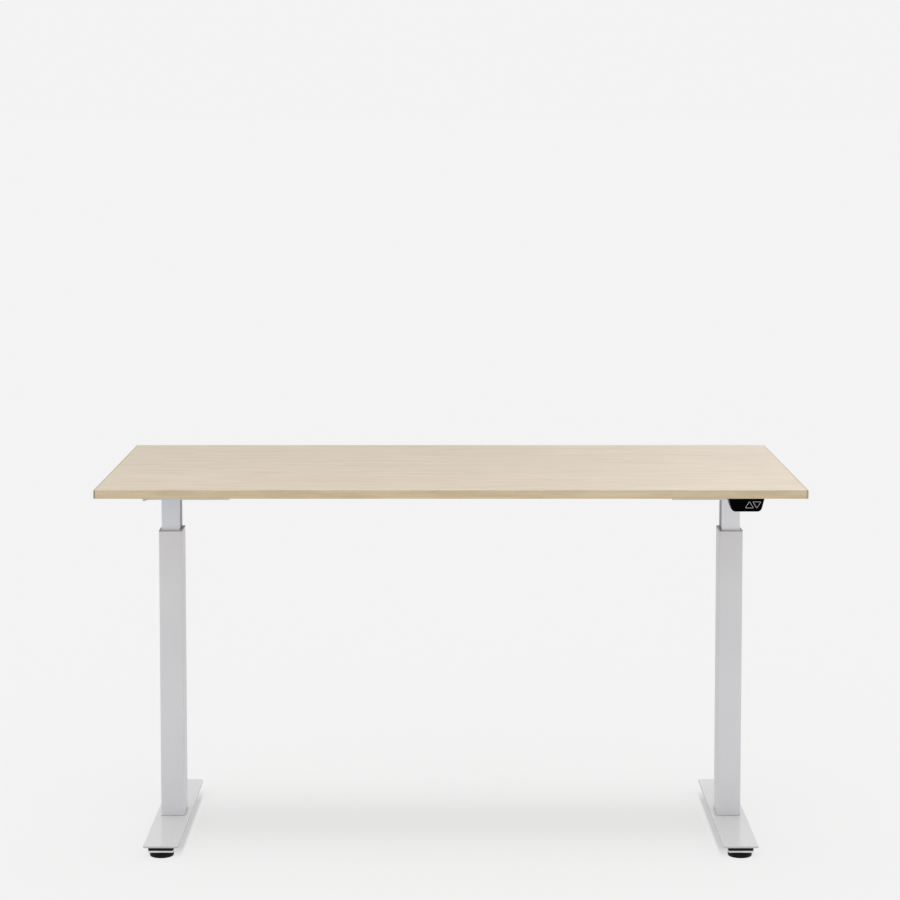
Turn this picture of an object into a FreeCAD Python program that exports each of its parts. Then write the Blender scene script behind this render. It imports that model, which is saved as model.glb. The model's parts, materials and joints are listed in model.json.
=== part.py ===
import FreeCAD, Part
import math
import os

# A height adjustable standing desk: a maple-faced top on two telescopic steel columns.
# Millimetres, +Z up, front towards -Y, origin on the floor under the middle of the top.

# Tabletop
topWidth = 1500.0
topDepth = 750.0
topThickness = 18.0
topHeight = 814.0
longStrip = 2.0
sideStrip = 4.0
edgeRadius = 1.0

# Columns, with the desk a little above its lowest height
columnX = 626.0
outerTubeX = 52.0
outerTubeY = 75.0
outerTubeTop = 672.0
outerTubeWall = 2.0
outerTubeRadius = 4.0
innerTubeX = 40.5
innerTubeY = 65.0
innerTubeBottom = 100.0
innerTubeWall = 1.5
innerTubeRadius = 3.0
collarHeight = 2.2
collarChamfer = 0.5
glideHeight = 30.0
slideGap = 0.05

# Feet and levellers
footLength = 563.0
footWidth = 76.0
footThickness = 4.0
footTop = 26.3
footCornerRadius = 3.0
footChamfer = 0.4
padFromEnd = 25.0
padRadius = 26.0
padHeight = 12.2
padEdgeRadius = 2.2
padRimRadius = 0.8
socketX = 54.5
socketY = 50.0
socketHeight = 6.0
socketCornerRadius = 4.0
socketSeamWidth = 0.6
socketSeamDepth = 0.8
studRadius = 4.0
studHeadRadius = 5.0
studFloor = 5.0
studHeadSink = 0.4
studClearance = 0.2
insertRadius = 7.0

# Lifting spindle, its nut and the plate that they stand on
basePlateThickness = 6.0
spindleRadius = 7.0
journalRadius = 6.0
spindleBottom = 105.0
spindleTip = 1.5
nutTubeRadius = 13.0
nutTubeWall = 2.0
nutBottom = 530.0
nutHeight = 30.0
nutSpigot = 10.0

# Gear head: a pressed steel tray over each column
headInnerX = 493.0
headOuterX = 681.0
headHalfY = 43.5
headDrop = 52.0
headWall = 2.0
headEdgeRadius = 1.5
headFloorHole = 15.0
headBoltY = 30.0
headBoltRises = (16.0, 38.0)

# Worm drive, with its heights above the tray's underside
wheelRadius = 16.0
wheelRise = 17.0
wheelHeight = 12.0
wormRadius = 5.0
wormHalfLength = 18.0
wormRoom = 1.0
meshGap = 0.1
shaftRadius = 3.0
armatureRadius = 12.0
armatureRoom = 1.0
armatureFromEnd = 14.0
motorRadius = 19.0
motorStart = 502.0
motorEnd = 582.0
motorCap = 10.0
motorRimRadius = 2.5
gearboxEnd = 657.0
gearboxFront = -26.0
gearboxBack = 40.0
gearboxSplitRise = 36.0
gearboxTopRise = 46.0
gearboxRadius = 3.0
gearboxEndWall = 1.5
shaftFromMotor = 2.0
shaftFromGearbox = 3.0
bearingRadius = 14.0
bearingHeight = 8.0

# Support arms and the two rails of the cross beam
armHalfLength = 300.0
armSheet = 3.0
armFlange = 22.0
armCentreDrop = 54.0
armKneeY = 150.0
armKneeDrop = 24.0
armEndDrop = 9.0
armLipReach = 4.0
armShoulder = 6.0
armLipEnd = 8.0
armScrewShares = (-0.92, -0.55, 0.0, 0.55, 0.92)
railHalfY = 10.0
railY = 28.0
railRise = 6.0
railHeight = 30.0
railWall = 2.0
railPlate = 3.0
railRadius = 2.5
railPlateGap = 2.0
railBoltSpread = 5.5
railBoltRise = 7.0

# Control box and its mains inlet
boxHalfX = 110.0
boxFront = 150.0
boxBack = 250.0
boxDrop = 36.0
boxWall = 2.5
boxCornerRadius = 5.0
boxEdgeRadius = 2.0
lidThickness = 3.0
lidEar = 15.0
lidScrewInset = 20.0
boardRise = 4.0
boardThickness = 1.6
boardMargin = 6.0
partHeight = 20.0
transformerX = (35.0, 85.0)
heatSinkX = (-80.0, -20.0)
capacitorX = 10.0
capacitorRadius = 9.0
postX = 95.0
postRadius = 3.0
inletX = -60.0
inletDrop = 20.0
inletWidth = 30.0
inletHeight = 23.0
inletSocketWidth = 24.0
inletSocketHeight = 16.0
inletDepth = 16.0
inletLip = 1.0
inletRim = 2.0
pinPlaces = ((-7.0, 2.0), (0.0, -2.0), (7.0, 2.0))
pinRecess = 8.0

# Keypad under the front edge
keypadX = 620.0
keypadTopWidth = 75.0
keypadBottomWidth = 61.0
keypadHeight = 27.0
keypadCornerRadius = 10.0
keypadFaceThickness = 2.0
keypadDepth = 40.0
keypadWall = 2.0
keypadTabDepth = 17.0
keypadTabWidth = 60.0
keypadScrewX = 20.0
keypadRearHeight = 13.0
keypadDeepPart = 12.0
keypadPocket = 16.0
keypadTabOverlap = 6.0
keypadTabRadius = 4.0
keypadBoardHalf = 27.0
keypadBoardDrops = (4.0, 20.0)
keypadBoardPlace = 10.0
switchHalf = 3.0
switchLength = 4.5
buttonWidth = 20.0
buttonHeight = 15.9
buttonTipShift = 0.7
buttonRadius = 1.6
buttonGap = 0.08
buttonLength = 6.0
buttonDrop = 12.8
upButtonX = 626.0
downButtonX = 641.5

# Leads clipped under the top
leadDrop = 8.0
motorLeadRadius = 2.5
keypadLeadRadius = 2.0
motorLeadY = 200.0
motorLeadX = 520.0
keypadLeadY = -150.0
keypadLeadX = 60.0
motorLeadBend = 65.0
keypadLeadBend = 60.0
clipSize = 12.0
clipFloor = 2.0
clipCornerRadius = 1.5
motorClipX = (180.0, 310.0, 430.0)
motorClipY = 95.0
keypadClipX = (480.0, 340.0, 200.0)
keypadClipY = (-65.0, 95.0)
keypadClipFront = -265.0

# Fasteners
screwRadius = 2.25
screwHeadRadius = 4.2
screwHeadHeight = 2.5
screwDepth = 12.0
screwCrossLength = 5.0
screwCrossWidth = 1.0
screwCrossDepth = 1.3
frameBoltRadius = 3.0
frameBoltHeadRadius = 5.0
frameBoltHeadHeight = 3.0
frameBoltKeyRadius = 2.0
frameBoltKeyDepth = 1.8
baseBoltRadius = 4.0
baseBoltHeadRadius = 6.5
baseBoltHeadHeight = 4.0
baseBoltKeyRadius = 2.9
baseBoltKeyDepth = 2.5
baseBoltX = 15.0
baseBoltY = 26.0

# Heights worked out from the above
underside = topHeight - topThickness
footUnderside = footTop - footThickness
collarTop = outerTubeTop + collarHeight
basePlateTop = footTop + basePlateThickness
socketBottom = footUnderside - socketHeight
headBottom = underside - headDrop
headFloor = headBottom + headWall
wheelBottom = headBottom + wheelRise
gearboxSplit = headBottom + gearboxSplitRise
gearboxTop = headBottom + gearboxTopRise
wormY = wheelRadius + wormRadius + meshGap
wormZ = wheelBottom + wheelHeight / 2
railBottom = headBottom + railRise
railTop = railBottom + railHeight
boxBottom = underside - boxDrop
inletZ = underside - inletDrop
buttonZ = underside - buttonDrop
keypadFront = -topDepth / 2
keypadCaseFront = keypadFront + keypadFaceThickness
keypadBack = keypadCaseFront + keypadDepth
leadZ = underside - leadDrop
padY = footLength / 2 - padFromEnd
armX = headOuterX + armSheet
armScrewX = armX + armFlange * 0.6

origin = FreeCAD.Vector(0, 0, 0)
alongX = FreeCAD.Vector(1, 0, 0)
alongY = FreeCAD.Vector(0, 1, 0)


def block(x0, x1, y0, y1, z0, z1):
    corner = FreeCAD.Vector(min(x0, x1), min(y0, y1), min(z0, z1))
    return Part.makeBox(abs(x1 - x0), abs(y1 - y0), abs(z1 - z0), corner)


def rod(radius, x, y, z0, z1):
    return Part.makeCylinder(radius, z1 - z0, FreeCAD.Vector(x, y, z0))


def rodAlongX(radius, x0, x1, y, z):
    return Part.makeCylinder(radius, x1 - x0, FreeCAD.Vector(x0, y, z), alongX)


def uprightEdges(shape):
    return [e for e in shape.Edges if abs(e.Vertexes[0].Z - e.Vertexes[-1].Z) > 1.0]


def roundedBlock(xSize, ySize, z0, z1, radius, x, y):
    solid = block(x - xSize / 2, x + xSize / 2, y - ySize / 2, y + ySize / 2, z0, z1)
    return solid.makeFillet(radius, uprightEdges(solid))


def roundedTube(outerX, outerY, innerX, innerY, z0, z1, outerRadius, innerRadius, x):
    outer = roundedBlock(outerX, outerY, z0, z1, outerRadius, x, 0)
    inner = roundedBlock(innerX, innerY, z0 - 1, z1 + 1, innerRadius, x, 0)
    return outer.cut(inner)


def mirrored(shape):
    return shape.mirror(origin, alongX)


def save(name, shape):
    shape.exportStep("parts/" + name + ".step")


def savePair(name, right):
    save("right_" + name, right)
    save("left_" + name, mirrored(right))


def saveBoth(name, right):
    save(name, Part.makeCompound(right.Solids + mirrored(right).Solids))


def armScrewPlaces():
    return [armHalfLength * share for share in armScrewShares]


def tabletopScrewPlaces():
    places = []
    for side in (-1, 1):
        places += [(side * armScrewX, y, underside - armSheet) for y in armScrewPlaces()]
        earX = boxHalfX + lidEar / 2
        for y in (boxFront + lidScrewInset, boxBack - lidScrewInset):
            places.append((side * earX, y, underside - lidThickness))
        tabY = keypadBack + keypadTabDepth / 2
        places.append((keypadX + side * keypadScrewX, tabY, underside - lidThickness))
    return places


def footPlate():
    plate = roundedBlock(footWidth, footLength, footUnderside, footTop, footCornerRadius, columnX, 0)
    for dx in (-baseBoltX, baseBoltX):
        for dy in (-baseBoltY, baseBoltY):
            plate = plate.cut(rod(baseBoltRadius, columnX + dx, dy, footUnderside - 1, footTop + 1))
    rims = [e for e in plate.Edges if e.BoundBox.ZMin > footTop - 0.01 and e.Length > footWidth / 2]
    return plate.makeChamfer(footChamfer, rims)


def outerColumn():
    return roundedTube(outerTubeX, outerTubeY, outerTubeX - 2 * outerTubeWall,
                       outerTubeY - 2 * outerTubeWall, footTop, outerTubeTop,
                       outerTubeRadius, outerTubeRadius - outerTubeWall, columnX)


def basePlate():
    plate = roundedBlock(outerTubeX - 2 * outerTubeWall, outerTubeY - 2 * outerTubeWall,
                         footTop, basePlateTop, outerTubeRadius - outerTubeWall, columnX, 0)
    for dx in (-baseBoltX, baseBoltX):
        for dy in (-baseBoltY, baseBoltY):
            plate = plate.cut(rod(baseBoltRadius, columnX + dx, dy, footTop - 1, basePlateTop + 1))
    return plate


def baseBolts():
    bolts = []
    for dx in (-baseBoltX, baseBoltX):
        for dy in (-baseBoltY, baseBoltY):
            x = columnX + dx
            shank = rod(baseBoltRadius, x, dy, footUnderside, basePlateTop)
            head = rod(baseBoltHeadRadius, x, dy, footUnderside - baseBoltHeadHeight, footUnderside)
            keyTop = footUnderside - baseBoltHeadHeight + baseBoltKeyDepth
            key = rod(baseBoltKeyRadius, x, dy, footUnderside - baseBoltHeadHeight - 1, keyTop)
            bolts.append(shank.fuse(head).cut(key))
    return Part.makeCompound(bolts)


def collar():
    solid = roundedBlock(outerTubeX, outerTubeY, outerTubeTop, collarTop, outerTubeRadius, columnX, 0)
    rims = [e for e in solid.Edges if e.BoundBox.ZMin > collarTop - 0.01]
    ring = solid.makeChamfer(collarChamfer, rims)
    hole = roundedBlock(innerTubeX + 4 * slideGap, innerTubeY + 4 * slideGap, outerTubeTop - 1,
                        collarTop + 1, innerTubeRadius, columnX, 0)
    return ring.cut(hole)


def upperGlide():
    return roundedTube(outerTubeX - 2 * outerTubeWall, outerTubeY - 2 * outerTubeWall,
                       innerTubeX + 2 * slideGap, innerTubeY + 2 * slideGap,
                       outerTubeTop - glideHeight, outerTubeTop,
                       outerTubeRadius - outerTubeWall, innerTubeRadius, columnX)


def innerColumn():
    return roundedTube(innerTubeX, innerTubeY, innerTubeX - 2 * innerTubeWall,
                       innerTubeY - 2 * innerTubeWall, innerTubeBottom, headBottom,
                       innerTubeRadius, innerTubeRadius - innerTubeWall, columnX)


def lowerGlide():
    return roundedTube(outerTubeX - 2 * outerTubeWall - 2 * slideGap,
                       outerTubeY - 2 * outerTubeWall - 2 * slideGap, innerTubeX, innerTubeY,
                       innerTubeBottom, innerTubeBottom + glideHeight,
                       outerTubeRadius - outerTubeWall, innerTubeRadius, columnX)


def nutTube():
    outer = rod(nutTubeRadius, columnX, 0, basePlateTop, nutBottom)
    return outer.cut(rod(nutTubeRadius - nutTubeWall, columnX, 0, basePlateTop - 1, nutBottom + 1))


def spindleNut():
    flange = rod(nutTubeRadius, columnX, 0, nutBottom, nutBottom + nutHeight)
    spigot = rod(nutTubeRadius - nutTubeWall, columnX, 0, nutBottom - nutSpigot, nutBottom)
    bore = rod(spindleRadius + slideGap, columnX, 0, nutBottom - nutSpigot - 1, nutBottom + nutHeight + 1)
    return flange.fuse(spigot).cut(bore)


def levellerSocket(y):
    solid = roundedBlock(socketX, socketY, socketBottom, footUnderside, socketCornerRadius, columnX, y)
    solid = solid.cut(rod(insertRadius, columnX, y, socketBottom - 1, footUnderside + 1))
    front = y - socketY / 2
    half = socketSeamWidth / 2
    return solid.cut(block(columnX - half, columnX + half, front - 1, front + socketSeamDepth,
                           socketBottom, footUnderside))


def levellerInsert(y):
    bush = rod(insertRadius, columnX, y, socketBottom, footUnderside)
    return bush.cut(rod(studRadius + slideGap, columnX, y, socketBottom - 1, footUnderside + 1))


def levellerPad(y):
    disc = rod(padRadius, columnX, y, 0, padHeight)
    disc = disc.makeFillet(padEdgeRadius, [e for e in disc.Edges if e.BoundBox.ZMax < 0.01])
    disc = disc.makeFillet(padRimRadius, [e for e in disc.Edges if e.BoundBox.ZMin > padHeight - 0.01])
    return disc.cut(rod(studHeadRadius + slideGap, columnX, y, studFloor, padHeight + 1))


def levellerStud(y):
    head = rod(studHeadRadius, columnX, y, studFloor, padHeight - studHeadSink)
    shank = rod(studRadius, columnX, y, studFloor, footUnderside - studClearance)
    return head.fuse(shank)


def tabletopPanel():
    halfX = topWidth / 2 - sideStrip
    halfY = topDepth / 2 - longStrip
    panel = block(-halfX, halfX, -halfY, halfY, underside, topHeight)
    for x, y, head in tabletopScrewPlaces():
        panel = panel.cut(rod(screwRadius, x, y, underside - 1, head + screwDepth))
    return panel


def longEdgeStrips():
    halfX = topWidth / 2 - sideStrip
    strips = []
    for side in (-1, 1):
        outer = side * topDepth / 2
        strip = block(-halfX, halfX, outer - side * longStrip, outer, underside, topHeight)
        rims = [e for e in strip.Edges if e.Length > topDepth and abs(e.CenterOfMass.y - outer) < 0.01]
        strips.append(strip.makeFillet(edgeRadius, rims))
    return Part.makeCompound(strips)


def sideEdgeStrip():
    outer = topWidth / 2
    halfY = topDepth / 2
    strip = block(outer - sideStrip, outer, -halfY, halfY, underside, topHeight)
    edges = [e for e in strip.Edges if abs(e.CenterOfMass.x - outer) < 0.01]
    edges += [e for e in strip.Edges if e.Length < sideStrip + 0.01]
    return strip.makeFillet(edgeRadius, edges)


def supportArm():
    x0 = headOuterX
    low = underside - armCentreDrop
    front = [(-armHalfLength, underside), (-armHalfLength, underside - armEndDrop),
             (-armKneeY, underside - armKneeDrop), (-headHalfY - armShoulder, low)]
    outline = front + [(-y, z) for y, z in reversed(front)]
    corners = [FreeCAD.Vector(x0, y, z) for y, z in outline]
    web = Part.Face(Part.makePolygon(corners + corners[:1])).extrude(alongX * armSheet)
    flange = block(x0, armX + armFlange, -armHalfLength, armHalfLength, underside - armSheet, underside)
    lip = block(x0 - armLipReach, armX, -headHalfY + armLipEnd, headHalfY - armLipEnd,
                low, low + headWall)
    arm = web.fuse(flange).fuse(lip)
    for y in armScrewPlaces():
        arm = arm.cut(rod(screwRadius, armScrewX, y, underside - armSheet - 1, underside + 1))
    for y, z in headBoltPlaces():
        arm = arm.cut(rodAlongX(frameBoltRadius, x0 - 1, armX + 1, y, z))
    return arm.removeSplitter()


def headBoltPlaces():
    return [(y, headBottom + rise) for y in (-headBoltY, headBoltY) for rise in headBoltRises]


def railBoltPlaces():
    places = []
    for side in (-1, 1):
        places += [(side * railY + dy, railTop + railBoltRise) for dy in (-railBoltSpread, railBoltSpread)]
    return places


def gearHead():
    outer = block(headInnerX, headOuterX, -headHalfY, headHalfY, headBottom, underside)
    edges = [e for e in outer.Edges if e.BoundBox.ZMax < headBottom + 0.01]
    tray = outer.makeFillet(headEdgeRadius, edges)
    tray = tray.cut(block(headInnerX + headWall, headOuterX - headWall, -headHalfY + headWall,
                          headHalfY - headWall, headFloor, underside + 1))
    tray = tray.cut(rod(headFloorHole, columnX, 0, headBottom - 1, headFloor + 1))
    for y, z in headBoltPlaces():
        tray = tray.cut(rodAlongX(frameBoltRadius, headOuterX - headWall - 1, headOuterX + 1, y, z))
    for y, z in railBoltPlaces():
        tray = tray.cut(rodAlongX(frameBoltRadius, headInnerX - 1, headInnerX + headWall + 1, y, z))
    return tray


def beamRail(side):
    y = side * railY
    length = headInnerX - railPlate
    tube = block(-length, length, y - railHalfY, y + railHalfY, railBottom, railTop)
    long = [e for e in tube.Edges if e.Length > length]
    tube = tube.makeFillet(railRadius, long)
    tube = tube.cut(block(-length - 1, length + 1, y - railHalfY + railWall, y + railHalfY - railWall,
                          railBottom + railWall, railTop - railWall))
    for end in (-1, 1):
        plate = block(end * length, end * headInnerX, y - railHalfY, y + railHalfY, railBottom,
                      underside - railPlateGap)
        for boltY, z in railBoltPlaces():
            hole = rodAlongX(frameBoltRadius, -headInnerX - 1, headInnerX + 1, boltY, z)
            plate = plate.cut(hole)
        tube = tube.fuse(plate)
    return tube.removeSplitter()


def frameBolts():
    bolts = []
    for y, z in headBoltPlaces():
        shank = rodAlongX(frameBoltRadius, headOuterX - headWall, armX, y, z)
        head = rodAlongX(frameBoltHeadRadius, armX, armX + frameBoltHeadHeight, y, z)
        outside = armX + frameBoltHeadHeight
        key = rodAlongX(frameBoltKeyRadius, outside - frameBoltKeyDepth, outside + 1, y, z)
        bolts.append(shank.fuse(head).cut(key))
    for y, z in railBoltPlaces():
        start = headInnerX - railPlate
        shank = rodAlongX(frameBoltRadius, start, headInnerX + headWall, y, z)
        head = rodAlongX(frameBoltHeadRadius, start - frameBoltHeadHeight, start, y, z)
        outside = start - frameBoltHeadHeight
        key = rodAlongX(frameBoltKeyRadius, outside - 1, outside + frameBoltKeyDepth, y, z)
        bolts.append(shank.fuse(head).cut(key))
    return Part.makeCompound(bolts)


def gearboxCase():
    case = block(motorEnd, gearboxEnd, gearboxFront, gearboxBack, headFloor, gearboxSplit)
    case = case.makeFillet(gearboxRadius, uprightEdges(case))
    case = case.cut(rod(bearingRadius, columnX, 0, headFloor - 1, headFloor + bearingHeight))
    case = case.cut(rod(wheelRadius + wormRoom, columnX, 0, headFloor + bearingHeight, gearboxSplit + 1))
    case = case.cut(rodAlongX(shaftRadius + slideGap, motorEnd - 1, gearboxEnd - gearboxEndWall,
                              wormY, wormZ))
    room = wormHalfLength + 4 * wormRoom
    return case.cut(rodAlongX(wormRadius + wormRoom, columnX - room, columnX + room, wormY, wormZ))


def gearboxCover():
    cover = block(motorEnd, gearboxEnd, gearboxFront, gearboxBack, gearboxSplit, gearboxTop)
    cover = cover.makeFillet(gearboxRadius, uprightEdges(cover))
    return cover.cut(rod(bearingRadius, columnX, 0, gearboxSplit - 1, gearboxSplit + bearingHeight))


def spindleBearings():
    rings = []
    for z in (headFloor, gearboxSplit):
        ring = rod(bearingRadius, columnX, 0, z, z + bearingHeight)
        rings.append(ring.cut(rod(journalRadius + slideGap, columnX, 0, z - 1, z + bearingHeight + 1)))
    return Part.makeCompound(rings)


def spindle():
    thread = rod(spindleRadius, columnX, 0, spindleBottom, headBottom + 1)
    tip = [e for e in thread.Edges if e.BoundBox.ZMax < spindleBottom + 0.01]
    chamfered = thread.makeChamfer(spindleTip, tip)
    return chamfered.fuse(rod(journalRadius, columnX, 0, headBottom, gearboxSplit + bearingHeight - 0.5))


def wormWheel():
    wheel = rod(wheelRadius, columnX, 0, wheelBottom, wheelBottom + wheelHeight)
    return wheel.cut(rod(journalRadius, columnX, 0, wheelBottom - 1, wheelBottom + wheelHeight + 1))


def wormShaft():
    shaft = rodAlongX(shaftRadius, motorStart + shaftFromMotor, gearboxEnd - shaftFromGearbox,
                      wormY, wormZ)
    worm = rodAlongX(wormRadius, columnX - wormHalfLength, columnX + wormHalfLength, wormY, wormZ)
    armature = rodAlongX(armatureRadius, motorStart + armatureFromEnd, motorEnd - armatureFromEnd,
                         wormY, wormZ)
    return shaft.fuse(worm).fuse(armature)


def motor():
    can = rodAlongX(motorRadius, motorStart, motorEnd, wormY, wormZ)
    rims = [e for e in can.Edges if e.BoundBox.XMax < motorStart + 0.01]
    can = can.makeFillet(motorRimRadius, rims)
    can = can.cut(rodAlongX(armatureRadius + armatureRoom, motorStart + motorCap, motorEnd - motorCap,
                            wormY, wormZ))
    return can.cut(rodAlongX(shaftRadius + slideGap, motorStart + 1, motorEnd + 1, wormY, wormZ))


def controlBoxCase():
    top = underside - lidThickness
    outer = block(-boxHalfX, boxHalfX, boxFront, boxBack, boxBottom, top)
    outer = outer.makeFillet(boxCornerRadius, uprightEdges(outer))
    rims = [e for e in outer.Edges if e.BoundBox.ZMax < boxBottom + 0.01]
    outer = outer.makeFillet(boxEdgeRadius, rims)
    case = outer.cut(block(-boxHalfX + boxWall, boxHalfX - boxWall, boxFront + boxWall,
                           boxBack - boxWall, boxBottom + boxWall, top + 1))
    return case.cut(block(inletX - inletWidth / 2, inletX + inletWidth / 2, boxBack - boxWall - 1,
                          boxBack + 1, inletZ - inletHeight / 2, inletZ + inletHeight / 2))


def controlBoxLid():
    halfX = boxHalfX + lidEar
    lid = roundedBlock(2 * halfX, boxBack - boxFront, underside - lidThickness, underside,
                       boxCornerRadius, 0, (boxFront + boxBack) / 2)
    for x, y, head in tabletopScrewPlaces():
        if y > boxFront and abs(x) < halfX:
            lid = lid.cut(rod(screwRadius, x, y, underside - lidThickness - 1, underside + 1))
    return lid


def controlBoard():
    floor = boxBottom + boxWall + boardRise
    face = floor + boardThickness
    front = boxFront + boardMargin
    back = boxBack - inletDepth - boxWall - 1.5
    board = block(-boxHalfX + boardMargin, boxHalfX - boardMargin, front, back, floor, face)
    transformer = block(*transformerX, front + 10, front + 50, face, face + partHeight)
    capacitor = rod(capacitorRadius, capacitorX, front + 24, face, face + partHeight)
    heatSink = block(*heatSinkX, front + 6, front + 12, face, face + partHeight)
    posts = [rod(postRadius, x, y, boxBottom + boxWall, floor) for x in (-postX, postX)
             for y in (front + 8, back - 8)]
    return board.multiFuse([transformer, capacitor, heatSink] + posts)


def mainsInlet():
    front = boxBack + inletLip
    flange = block(inletX - inletWidth / 2 - inletRim, inletX + inletWidth / 2 + inletRim, boxBack, front,
                   inletZ - inletHeight / 2 - inletRim, inletZ + inletHeight / 2 + inletRim)
    body = block(inletX - inletWidth / 2, inletX + inletWidth / 2, front - inletDepth - inletRim, front,
                 inletZ - inletHeight / 2, inletZ + inletHeight / 2)
    socket = block(inletX - inletSocketWidth / 2, inletX + inletSocketWidth / 2, front - inletDepth,
                   front + 1, inletZ - inletSocketHeight / 2, inletZ + inletSocketHeight / 2)
    inlet = flange.fuse(body).cut(socket)
    for dx, dz in pinPlaces:
        pin = block(inletX + dx - 1, inletX + dx + 1, front - inletDepth - 1, front - pinRecess,
                    inletZ + dz - 2, inletZ + dz + 2)
        inlet = inlet.fuse(pin)
    return inlet.removeSplitter()


def keypadOutline(y, inset):
    topHalf = keypadTopWidth / 2 - inset
    bottomHalf = keypadBottomWidth / 2 - inset
    top = underside - inset
    bottom = underside - keypadHeight + inset
    corners = [FreeCAD.Vector(keypadX + x, y, z) for x, z in
               ((-topHalf, top), (topHalf, top), (bottomHalf, bottom), (-bottomHalf, bottom))]
    return Part.Face(Part.makePolygon(corners + corners[:1]))


def keypadBlank(y0, y1, inset):
    solid = keypadOutline(y0, inset).extrude(alongY * (y1 - y0))
    lower = [e for e in solid.Edges if abs(e.Length - (y1 - y0)) < 0.01
             and e.CenterOfMass.z < underside - keypadHeight / 2]
    return solid.makeFillet(keypadCornerRadius - inset, lower)


def keypadCase():
    shell = keypadBlank(keypadCaseFront, keypadBack, 0.0)
    low = underside - keypadHeight
    slopeStart = keypadCaseFront + keypadDeepPart
    slopeEnd = underside - keypadRearHeight
    corners = [FreeCAD.Vector(keypadX - keypadTopWidth, y, z) for y, z in
               ((slopeStart, low), (slopeStart, low - 1), (keypadBack + 1, low - 1),
                (keypadBack + 1, slopeEnd), (keypadBack, slopeEnd))]
    slope = Part.Face(Part.makePolygon(corners + corners[:1])).extrude(alongX * 2 * keypadTopWidth)
    shell = shell.cut(slope)
    cavity = keypadBlank(keypadCaseFront - 1, keypadCaseFront + keypadPocket, keypadWall)
    shell = shell.cut(cavity)
    tabY = keypadBack + (keypadTabDepth - keypadTabOverlap) / 2
    tab = roundedBlock(keypadTabWidth, keypadTabDepth + keypadTabOverlap, underside - lidThickness,
                       underside, keypadTabRadius, keypadX, tabY)
    shell = shell.fuse(tab)
    for x, y, head in tabletopScrewPlaces():
        if y < -topDepth / 4 and abs(x) < headOuterX:
            shell = shell.cut(rod(screwRadius, x, y, underside - lidThickness - 1, underside + 1))
    return shell.removeSplitter()


def triangle(x, direction, grow, y0, y1):
    half = buttonWidth / 2 + grow
    tall = buttonHeight / 2 + grow
    middle = buttonZ + direction * buttonTipShift
    corners = [FreeCAD.Vector(x + dx, y0, middle + direction * dz) for dx, dz in
               ((-half, -tall), (half, -tall), (0.0, tall))]
    solid = Part.Face(Part.makePolygon(corners + corners[:1])).extrude(alongY * (y1 - y0))
    ends = [e for e in solid.Edges if abs(e.Length - (y1 - y0)) < 0.01
            and abs(e.Vertexes[0].Y - e.Vertexes[-1].Y) > 0.1]
    return solid.makeFillet(buttonRadius, ends)


def keypadFace():
    face = keypadBlank(keypadFront, keypadCaseFront, 0.0)
    for x, direction in ((upButtonX, 1), (downButtonX, -1)):
        face = face.cut(triangle(x, direction, buttonGap, keypadFront - 1, keypadCaseFront + 1))
    return face


def keypadBoard():
    start = keypadCaseFront + keypadBoardPlace
    high, low = (underside - drop for drop in keypadBoardDrops)
    board = block(keypadX - keypadBoardHalf, keypadX + keypadBoardHalf, start, start + boardThickness,
                  low, high)
    switches = [block(x - switchHalf, x + switchHalf, start - switchLength, start,
                      buttonZ - switchHalf, buttonZ + switchHalf) for x in (upButtonX, downButtonX)]
    return board.multiFuse(switches)


def button(x, direction):
    return triangle(x, direction, 0.0, keypadFront, keypadFront + buttonLength)


def bentLead(points, radius, bend):
    pieces = []
    start = points[0]
    for before, corner, after in zip(points, points[1:], points[2:]):
        inward = (before - corner).normalize()
        outward = (after - corner).normalize()
        arcStart = corner + inward * bend
        arcEnd = corner + outward * bend
        centre = corner + inward * bend + outward * bend
        middle = centre + (corner - centre).normalize() * bend
        pieces.append(Part.LineSegment(start, arcStart).toShape())
        pieces.append(Part.Arc(arcStart, middle, arcEnd).toShape())
        start = arcEnd
    pieces.append(Part.LineSegment(start, points[-1]).toShape())
    path = Part.Wire(pieces)
    ring = Part.Wire(Part.makeCircle(radius, points[0], points[1] - points[0]))
    lead = path.makePipeShell([ring], True, False)
    expected = math.pi * radius ** 2 * path.Length
    print("lead", round(path.Length, 1), "bend", bend, "volume ratio", round(lead.Volume / expected, 4))
    return lead


def motorLead():
    points = [FreeCAD.Vector(boxHalfX, motorLeadY, leadZ), FreeCAD.Vector(motorLeadX, motorLeadY, leadZ),
              FreeCAD.Vector(motorLeadX, headHalfY, leadZ)]
    return bentLead(points, motorLeadRadius, motorLeadBend)


def keypadLead():
    points = [FreeCAD.Vector(keypadX, keypadBack, leadZ), FreeCAD.Vector(keypadX, keypadLeadY, leadZ),
              FreeCAD.Vector(keypadLeadX, keypadLeadY, leadZ), FreeCAD.Vector(keypadLeadX, boxFront, leadZ)]
    return bentLead(points, keypadLeadRadius, keypadLeadBend)


def leadClip(x, y, radius, alongLead):
    half = clipSize / 2
    clip = block(x - half, x + half, y - half, y + half, leadZ - radius - clipFloor, underside)
    clip = clip.makeFillet(clipCornerRadius, uprightEdges(clip))
    base = FreeCAD.Vector(x, y, leadZ) - alongLead * clipSize
    return clip.cut(Part.makeCylinder(radius, 2 * clipSize, base, alongLead))


def leadClips():
    clips = []
    for side in (-1, 1):
        for x in motorClipX:
            clips.append(leadClip(side * x, motorLeadY, motorLeadRadius, alongX))
        clips.append(leadClip(side * motorLeadX, motorClipY, motorLeadRadius, alongY))
    clips.append(leadClip(keypadX, keypadClipFront, keypadLeadRadius, alongY))
    for x in keypadClipX:
        clips.append(leadClip(x, keypadLeadY, keypadLeadRadius, alongX))
    for y in keypadClipY:
        clips.append(leadClip(keypadLeadX, y, keypadLeadRadius, alongY))
    return Part.makeCompound(clips)


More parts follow.
